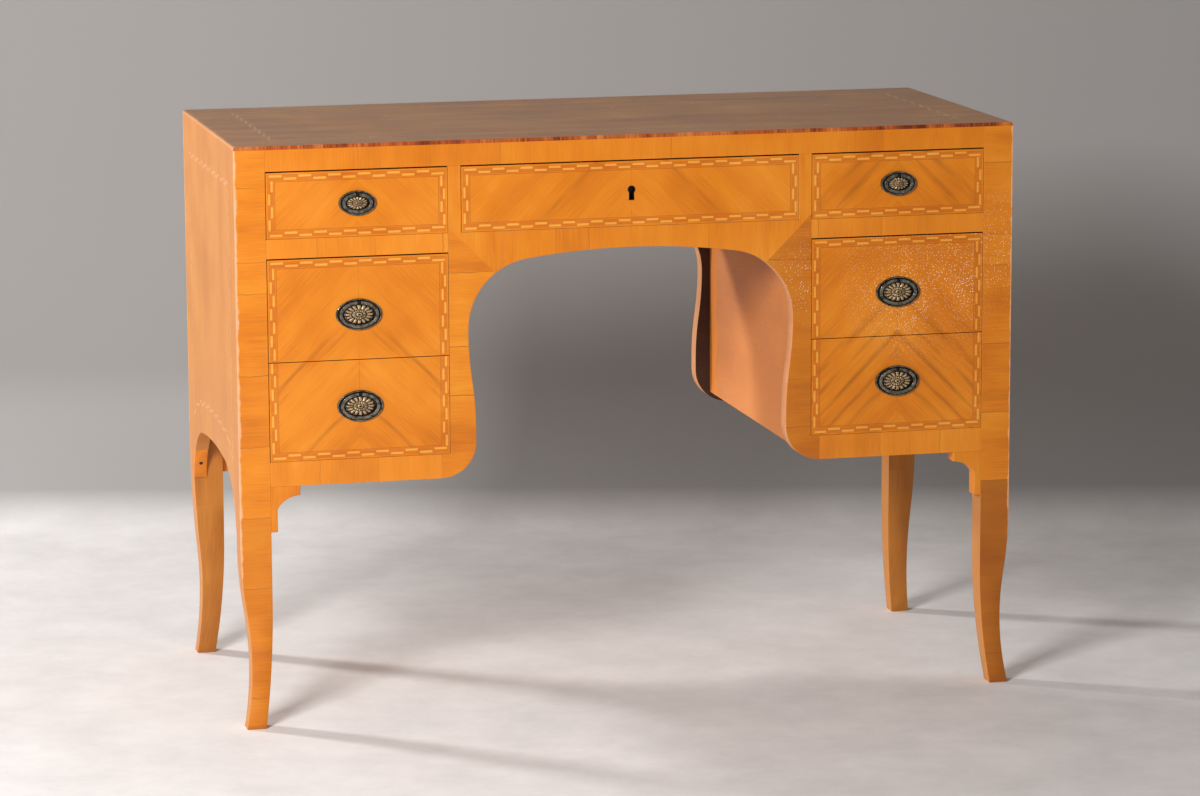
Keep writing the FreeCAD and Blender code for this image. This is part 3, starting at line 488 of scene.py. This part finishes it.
# Runners, guides, kickers and stops. Planed strips glued inside the carcass, which carry and steer the
# drawers and keep their fronts flush; they show only when a drawer is out.
STRIPS = ["drawer_runners", "drawer_guides", "drawer_kickers", "drawer_stops"]
# Planed pine, yellowed and dull.
bare_wood = polished_wood("planed_pine", ("#a87d4d", "#bf9562", "#cfa979"), grain_to_back, figure=14.0,
                          depth=0.9, roughness=0.65)
dress(STRIPS, bare_wood)

# Top. One board, veneered and worn brown and dull, with a faint border of dashes. Its ends are veneered with
# the end panels, and its front edge is rebated for a thin strip of mottled dark red-brown wood.
TOP_BORDER, TOP_LIFT = 58.0, 0.05
top_low, top_high = (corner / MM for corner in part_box("desk_top"))
# Worn fruitwood: the wax has gone grey-brown, with chips of finish lost here and there.
top_wood = polished_wood("worn_top_veneer", ("#845939", "#a2734c", "#b88b62"), level_board_grain, figure=34.0,
                         depth=0.75, roughness=0.46, specks=((0.0, 0.0, 784.0), 900.0, 34.0, 1.4))
dress(["desk_top"], top_wood)
refinish(["desk_top"], end_wood, lambda normal: abs(normal.x) > 0.7)
# Worn maple, a shade paler than the veneer, so that the border is only just seen.
worn_inlay = polished_wood("worn_maple_inlay", ("#b08a66", "#c09a76", "#cca884"), level_board_grain,
                           figure=6.0, depth=0.8, roughness=0.46)
marks = []
left, near = top_low.x + TOP_BORDER, top_low.y + TOP_BORDER
right, far = top_high.x - TOP_BORDER, top_high.y - TOP_BORDER
for low, high, inset in dash_row(left, right):
    marks.append(oblong(low, near + inset, high, near + inset + DASH_WIDTH))
    marks.append(oblong(low, far - inset - DASH_WIDTH, high, far - inset))
for low, high, inset in dash_row(near + BAND, far - BAND):
    marks.append(oblong(left + inset, low, left + inset + DASH_WIDTH, high))
    marks.append(oblong(right - inset - DASH_WIDTH, low, right - inset, high))
flats = [[(x, y, top_high.z + TOP_LIFT) for x, y in four] for four in marks]
let_in("top_inlay", flats, worn_inlay, "carcass")
# Rosewood: dark red-brown with lighter patches every few centimetres.
strip_wood = polished_wood("rosewood_edge_strip", ("#6a2409", "#ae501b", "#cf7a38"), upright_grain,
                           figure=18.0, depth=1.7, roughness=0.36)
dress(["top_edge_strip"], strip_wood, arris=0.8)

# Drawer boxes. Two sides and a back of thin oak, dovetailed to the front, with a bottom slid into grooves.
# None of it was ever polished.
DRAWERS = ["left_top", "centre", "right_top", "left_upper", "left_lower", "right_upper", "right_lower"]
# Planed oak, unfinished, yellow-brown and dull; the bottoms are a little browner.
box_wood = polished_wood("planed_oak", ("#a5794a", "#bb905f", "#cba474"), grain_to_back, figure=12.0,
                         depth=0.9, roughness=0.62)
dress([f"{name}_drawer_box" for name in DRAWERS], box_wood)
bottom_wood = polished_wood("planed_oak_bottom", ("#a07446", "#b78c5a", "#c69f6f"), level_board_grain,
                            figure=20.0, depth=0.9, roughness=0.65)
dress([f"{name}_drawer_bottom" for name in DRAWERS], bottom_wood)

# Drawer fronts. Two leaves of slanting veneer meet on the middle line like the slopes of a roof. Round each
# panel runs a border of light dashes in two rows that take turns, on a slightly darker ground, with a thin
# line inside it.
CHEVRON = ("#bc6106", "#db7d0c", "#ea9421")
SLOPE = math.sqrt(0.5)
GROUND_FROM, GROUND_TO, LINE_FROM, LINE_TO = 2.2, 10.6, 11.4, 12.2
GROUND_LIFT, DASH_LIFT, SAW_CUT = 0.05, 0.1, 0.3
# A panel's streaks are placed by height plus distance from its middle line.
PANELS = {
    "left_top": dict(fronts=["left_top"], columns=12, rows=4, streaks=()),
    "centre": dict(fronts=["centre"], columns=24, rows=4, streaks=((795.0, 5.0),)),
    "right_top": dict(fronts=["right_top"], columns=12, rows=4,
                      streaks=((735.0, 4.0), (760.0, 6.0), (790.0, 8.0))),
    "left_pedestal": dict(fronts=["left_lower", "left_upper"], columns=12, rows=14,
                          streaks=((443.0, 5.0), (550.0, 3.0), (565.0, 5.0))),
    "right_pedestal": dict(fronts=["right_lower", "right_upper"], columns=12, rows=14,
                           streaks=((440.0, 8.0), (470.0, 4.0), (500.0, 6.0), (530.0, 5.0), (558.0, 9.0)),
                           specks=((440.0, FRONT, 605.0), 170.0, 2.8, 0.7)),
}


def roof_grain(middle):
    """Grain that falls away at 45 degrees on both sides of the middle."""
    def grain(tree, x, y, z):
        outward = add(tree, "Math", (x, middle), operation="SUBTRACT")
        spread = add(tree, "Math", [outward], operation="ABSOLUTE")
        rise = add(tree, "Math", (spread, z), operation="ADD")
        fall = add(tree, "Math", (spread, z), operation="SUBTRACT")
        across = add(tree, "Math", (rise, SLOPE), operation="MULTIPLY")
        along = add(tree, "Math", (fall, SLOPE), operation="MULTIPLY")
        return across, along
    return grain


def border_strips(x0, z0, x1, z1, outer, inner):
    """Four strips of a border that lies between outer and inner millimetres from the panel's edge."""
    return [
        (x0 + outer, z1 - inner, x1 - outer, z1 - outer),
        (x0 + outer, z0 + outer, x1 - outer, z0 + inner),
        (x0 + outer, z0 + inner, x0 + inner, z1 - inner),
        (x1 - inner, z0 + inner, x1 - outer, z1 - inner),
    ]


def running_dashes(x0, z0, x1, z1, columns, rows, margin=2.9, row=3.6, gap=3.0, height=2.9):
    """The dashes of one panel, in two rows that take turns: columns along its length, rows up its height."""
    found = []
    length = (x1 - x0 - 2 * margin) / columns
    for number in range(columns):
        inset = margin + row * (number % 2)
        low = x0 + margin + number * length + gap / 2
        high = x0 + margin + (number + 1) * length - gap / 2
        found.append((low, z1 - inset - height, high, z1 - inset))
        found.append((low, z0 + inset, high, z0 + inset + height))
    corner = margin + row + height
    length = (z1 - z0 - 2 * corner) / rows
    for number in range(rows):
        inset = margin + row * (number % 2)
        low = z0 + corner + number * length + gap / 2
        high = z0 + corner + (number + 1) * length - gap / 2
        found.append((x0 + inset, low, x0 + inset + height, high))
        found.append((x1 - inset - height, low, x1 - inset, high))
    return found


# Maple dashes, yellowed by the polish, on fruitwood of a deeper orange, with a line in a darker cut of it.
light_inlay = polished_wood("polished_maple_inlay", ("#e2922a", "#eaa038", "#f1ae4a"), level_board_grain,
                            figure=9.0, depth=0.8)
ground_wood = polished_wood("inlay_ground_fruitwood", ("#ba5c08", "#cd6e10", "#db7e1b"), level_board_grain,
                            figure=9.0, depth=0.8)
line_wood = polished_wood("dark_line_fruitwood", ("#aa5208", "#b8600c", "#c66c12"), level_board_grain,
                          figure=9.0, depth=0.8)
# The bare edges of the fronts are painted brown-black: painted shade in the gaps round the closed drawers.
gap_shade_wood = polished_wood("painted_gap_shade_edge", ("#3a210f", "#4b2c16", "#5a381e"), grain_to_back, figure=9.0,
                          depth=0.8, roughness=0.6)
for panel, plan in PANELS.items():
    boxes = [[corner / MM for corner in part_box(f"{name}_drawer_front")] for name in plan["fronts"]]
    x0, z0, x1, z1 = boxes[0][0].x, boxes[0][0].z, boxes[0][1].x, boxes[-1][1].z
    middle, face = (x0 + x1) / 2, boxes[0][0].y
    # Waxed fruitwood in two matched leaves: fine slanting streaks that mirror each other on the middle seam.
    wood = polished_wood(f"{panel}_matched_fruitwood", CHEVRON, roof_grain(middle), figure=30.0, depth=0.65,
                         streaks=[(line * SLOPE, width) for line, width in plan["streaks"]],
                         specks=plan.get("specks"), middle=middle)
    layers = {
        "ground": (border_strips(x0, z0, x1, z1, GROUND_FROM, GROUND_TO), GROUND_LIFT, ground_wood),
        "line": (border_strips(x0, z0, x1, z1, LINE_FROM, LINE_TO), GROUND_LIFT, line_wood),
        "dashes": (running_dashes(x0, z0, x1, z1, plan["columns"], plan["rows"]), DASH_LIFT, light_inlay),
    }
    for name, (low, high) in zip(plan["fronts"], boxes):
        dress([f"{name}_drawer_front"], wood)
        # Painted shade on the edges, for the dark gaps round the closed drawer.
        refinish([f"{name}_drawer_front"], gap_shade_wood, lambda normal: abs(normal.y) < 0.5)
        # A border that runs over two fronts is sawn through between them.
        for layer, (marks, lift, material) in layers.items():
            flats = []
            for start, bottom, end, top in marks:
                bottom = max(bottom, low.z + SAW_CUT)
                top = min(top, high.z - SAW_CUT)
                if top - bottom > SAW_CUT:
                    flats.append([(x, face - lift, z) for x, z in oblong(start, bottom, end, top)])
            let_in(f"{name}_inlay_{layer}", flats, material, f"{name}_drawer")

# Handles. A stamped brass plate with a raised rim and a flower in the middle is bolted through each side
# drawer, and a cast ring hangs from the eye at its top. The carved petals are modelled here over the plain
# boss of the plate.
HANDLED = [name for name in DRAWERS if name != "centre"]
PLATE_THICKNESS, RIM_HEIGHT = 1.2, 1.8
FLOWER_INSET_X, FLOWER_INSET_Z = 10.8, 7.9
PETALS, PETAL_STEPS, FLOWER_RINGS = 16, 10, 30
OUTER_ROW, INNER_ROW, BUTTON = 0.52, 0.24, 0.13
OUTER_HEIGHT, INNER_HEIGHT, BUTTON_HEIGHT = 2.4, 3.0, 3.4
SKIRT, DOME, DIMPLE, SCALLOP = 0.3, 1.2, 0.9, 0.08
# Brass, never cleaned: black in the hollows, patina deepened by painted shade; grey where handled; beige
# petal tops.
patina_and_shade_brass = aged_metal("black_patina_and_shade_brass", "#0e0c0a", "#26221c", roughness=0.5, metallic=0.6, grit=5.0)
ring_brass = aged_metal("handled_brass", "#45413a", "#9b9585", roughness=0.27, metallic=0.75, grit=5.0)
petal_brass = aged_metal("rubbed_brass_petals", "#8f7350", "#d2b48a", roughness=0.42, metallic=0.45, grit=3.0)


def petal(reach, turn):
    """For a place on the flower: 1 on the ridge of its petal down to 0 in a groove, its share of the way out
    to the tip, and the height of its row. reach is 1 at the tips of the outer row."""
    if reach > OUTER_ROW:
        return abs(math.cos(turn)), (reach - OUTER_ROW) / (1 - OUTER_ROW), OUTER_HEIGHT
    if reach > INNER_ROW:
        return abs(math.sin(turn)), (reach - INNER_ROW) / (OUTER_ROW - INNER_ROW), INNER_HEIGHT
    return 1.0, reach / INNER_ROW, BUTTON_HEIGHT


def flower(name, half_x, half_z, centre, body):
    """A rosette of two rows of petals round a button; half_x and half_z reach the tips of the outer petals.
    Faces in the grooves between petals take the black brass."""
    around = PETALS * PETAL_STEPS
    shell = bmesh.new()
    loops = []
    for ring in range(FLOWER_RINGS + 1):
        reach = 1.0 - ring / FLOWER_RINGS
        loop = []
        for step in range(around):
            ridge, share, foot = petal(reach, PETALS * math.pi * step / around)
            rounded = (1 - share ** 12) * (0.45 + 0.55 * ridge ** 0.5)
            height = SKIRT + (foot + DOME * math.sqrt(1 - share * share)) * rounded
            if reach < BUTTON:
                height -= DIMPLE * (1 - reach / BUTTON)
            scallop = 1.0 - SCALLOP * (1 - ridge) * (share if reach > OUTER_ROW else 0.0)
            angle = 2 * math.pi * step / around
            offset = Vector((half_x * reach * scallop * math.cos(angle), -height,
                             half_z * reach * scallop * math.sin(angle)))
            loop.append(shell.verts.new(centre + offset * MM))
        loops.append(loop)
    for ring, (outer, inner) in enumerate(zip(loops, loops[1:])):
        reach = 1.0 - (ring + 0.5) / FLOWER_RINGS
        between = min(abs(reach - OUTER_ROW), abs(reach - INNER_ROW)) < 0.02 or reach < BUTTON * 0.7
        for step in range(around):
            after = (step + 1) % around
            corners = (outer[step], outer[after], inner[after], inner[step])
            facet = shell.faces.new(corners if ring < FLOWER_RINGS - 1 else corners[:3])
            ridge = petal(reach, PETALS * math.pi * (step + 0.5) / around)[0]
            facet.material_index = 1 if ridge < 0.25 or between else 0
            facet.smooth = True
    bmesh.ops.remove_doubles(shell, verts=shell.verts, dist=1e-7)
    bmesh.ops.recalc_face_normals(shell, faces=shell.faces)
    mesh = bpy.data.meshes.new(name)
    shell.to_mesh(mesh)
    shell.free()
    mesh.materials.append(petal_brass)
    mesh.materials.append(patina_and_shade_brass)
    piece = bpy.data.objects.new(name, mesh)
    bpy.context.scene.collection.objects.link(piece)
    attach(piece, body)


for name in HANDLED:
    # The plate is black with patina and with painted shade in its recess.
    dress([f"{name}_handle_plate"], patina_and_shade_brass, arris=0.7, steps=3)
    dress([f"{name}_handle_bail"], ring_brass, arris=1.1, steps=3)
    low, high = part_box(f"{name}_handle_plate")
    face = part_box(f"{name}_drawer_front")[0].y - PLATE_THICKNESS * MM
    # The flat top of the rim is rubbed like the ring.
    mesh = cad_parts[f"{name}_handle_plate"].data
    mesh.materials.append(ring_brass)
    for facet in mesh.polygons:
        if facet.normal.y < -0.9 and abs(facet.center.y - face + RIM_HEIGHT * MM) < 0.05 * MM:
            facet.material_index = 1
    centre = Vector(((low.x + high.x) / 2, face, (low.z + high.z) / 2))
    half_x = (high.x - low.x) / 2 / MM - FLOWER_INSET_X
    half_z = (high.z - low.z) / 2 / MM - FLOWER_INSET_Z
    flower(f"{name}_handle_flower", half_x, half_z, centre, f"{name}_drawer")

# Lock. An iron case is let into the back of the centre front, with a bolt that slides up into the top rail,
# and a thin brass liner fills the edge of the keyhole.
dress(["lock_case", "lock_bolt"], iron)
dress(["keyhole_liner"], patina_and_shade_brass)

# Floor and backdrop. A scuffed pale floor turns up behind the desk into a plain grey wall. It throws no
# shadow, so that the lamp behind it still reaches the desk.
SHEET_WIDTH, SHEET_TURN, FLOOR_FRONT, WALL_TOP = 24.0, -13.5, -12.0, 4.5
CURVE_START, CURVE_RADIUS, CURVE_STEPS = 0.93, 0.24, 24
SCUFFS_PER_METRE, FLOOR_END = 7.0, 0.045
profile = [(FLOOR_FRONT, 0.0)]
for step in range(CURVE_STEPS + 1):
    angle = math.pi / 2 * step / CURVE_STEPS
    profile.append((CURVE_START + CURVE_RADIUS * math.sin(angle), CURVE_RADIUS * (1 - math.cos(angle))))
profile.append((CURVE_START + CURVE_RADIUS, WALL_TOP))
sheet = bpy.data.meshes.new("studio_sheet")
points = [(side * SHEET_WIDTH / 2, y, z) for y, z in profile for side in (-1, 1)]
starts = range(0, len(points) - 2, 2)
sheet.from_pydata(points, [], [(start, start + 1, start + 3, start + 2) for start in starts])
for facet in sheet.polygons:
    facet.use_smooth = True
floor = bpy.data.objects.new("studio_sheet", sheet)
floor.rotation_euler.z = math.radians(SHEET_TURN)
bpy.context.scene.collection.objects.link(floor)
floor.visible_shadow = False
# Painted concrete: matt and pale, with scuffs about 14 cm across, and grey where it turns up into the wall.
paint = bpy.data.materials.new("scuffed_floor_paint")
paint.use_nodes = True
tree = paint.node_tree
surface = tree.nodes["Principled BSDF"]
place = add(tree, "TexCoord", out="Object")
scuffs = add(tree, "TexNoise", {"Vector": place, "Scale": SCUFFS_PER_METRE, "Detail": 8.0, "Roughness": 0.7})
scuffed = add(tree, "MapRange", (scuffs, 0.35, 0.65, 0.0, 1.0))
pale, paler = colour("#e0dcda"), colour("#efebe9")
floor_tone = add(tree, "Mix", {0: scuffed, 6: pale, 7: paler}, out=2, data_type="RGBA")
height = add(tree, "SeparateXYZ", [place], out=2)
upward = add(tree, "MapRange", (height, 0.0, FLOOR_END, 0.0, 1.0))
sheet_tone = add(tree, "Mix", {0: upward, 6: floor_tone, 7: colour("#a6a3a1")}, out=2, data_type="RGBA")
tree.links.new(sheet_tone, surface.inputs["Base Color"])
surface.inputs["Roughness"].default_value = 0.6
# From behind, the eye sees through the wall to the back of the desk.
behind = add(tree, "NewGeometry", out="Backfacing")
clear = add(tree, "BsdfTransparent")
one_sided = add(tree, "MixShader", (behind, surface.outputs[0], clear))
tree.links.new(one_sided, tree.nodes["Material Output"].inputs["Surface"])
sheet.materials.append(paint)

# Light. A lamp at the left and a little behind throws the long shadows to the right and lights the left end,
# and a soft one in front at the left lights the drawers.
SKY_STRENGTH = 0.3


def lamp(name, position, aim, size, power):
    """A square lamp, size metres wide, that points at aim."""
    light = bpy.data.lights.new(name, "AREA")
    light.size = size
    light.energy = power
    stand = bpy.data.objects.new(name, light)
    stand.location = position
    stand.rotation_euler = (Vector(aim) - Vector(position)).to_track_quat("-Z", "Y").to_euler()
    bpy.context.scene.collection.objects.link(stand)


lamp("left_lamp", position=(-2.75, 1.9, 1.8), aim=(0.0, 0.0, 0.3), size=0.35, power=76.0)
lamp("front_lamp", position=(-2.05, -2.5, 1.9), aim=(0.1, 0.0, 0.5), size=0.9, power=109.0)
world = bpy.data.worlds.new("studio")
world.use_nodes = True
sky = world.node_tree.nodes["Background"]
sky.inputs["Color"].default_value = colour("#d0cdca")
sky.inputs["Strength"].default_value = SKY_STRENGTH
bpy.context.scene.world = world
bpy.context.scene.view_settings.view_transform = "Standard"

# Camera. Its place, turn and lens are those that fit the straight edges of the desk in the photograph, with a
# long lens a good six metres away.
TURN, RISE, TILT = math.radians(-13.503), math.radians(10.125), math.radians(-0.279)
TARGET, DISTANCE = Vector((1.5, 0, 390)), 6134.2
SLIDE_RIGHT, SLIDE_DOWN = 8.68, 4.45
back = Vector((math.sin(TURN) * math.cos(RISE), -math.cos(TURN) * math.cos(RISE), math.sin(RISE)))
level = Vector((math.cos(TURN), math.sin(TURN), 0))
up = back.cross(level)
level_tilted = level * math.cos(TILT) + up * math.sin(TILT)
up_tilted = up * math.cos(TILT) - level * math.sin(TILT)
eye = TARGET + back * DISTANCE + level_tilted * SLIDE_RIGHT - up_tilted * SLIDE_DOWN
camera_data = bpy.data.cameras.new("photo_camera")
camera_data.lens = 130.95
camera_data.sensor_width = 36.0
camera_data.clip_end = 200.0
camera = bpy.data.objects.new("photo_camera", camera_data)
facing = Matrix((level_tilted, up_tilted, back)).transposed().to_4x4()
camera.matrix_world = Matrix.Translation(eye * MM) @ facing
bpy.context.scene.collection.objects.link(camera)
bpy.context.scene.camera = camera
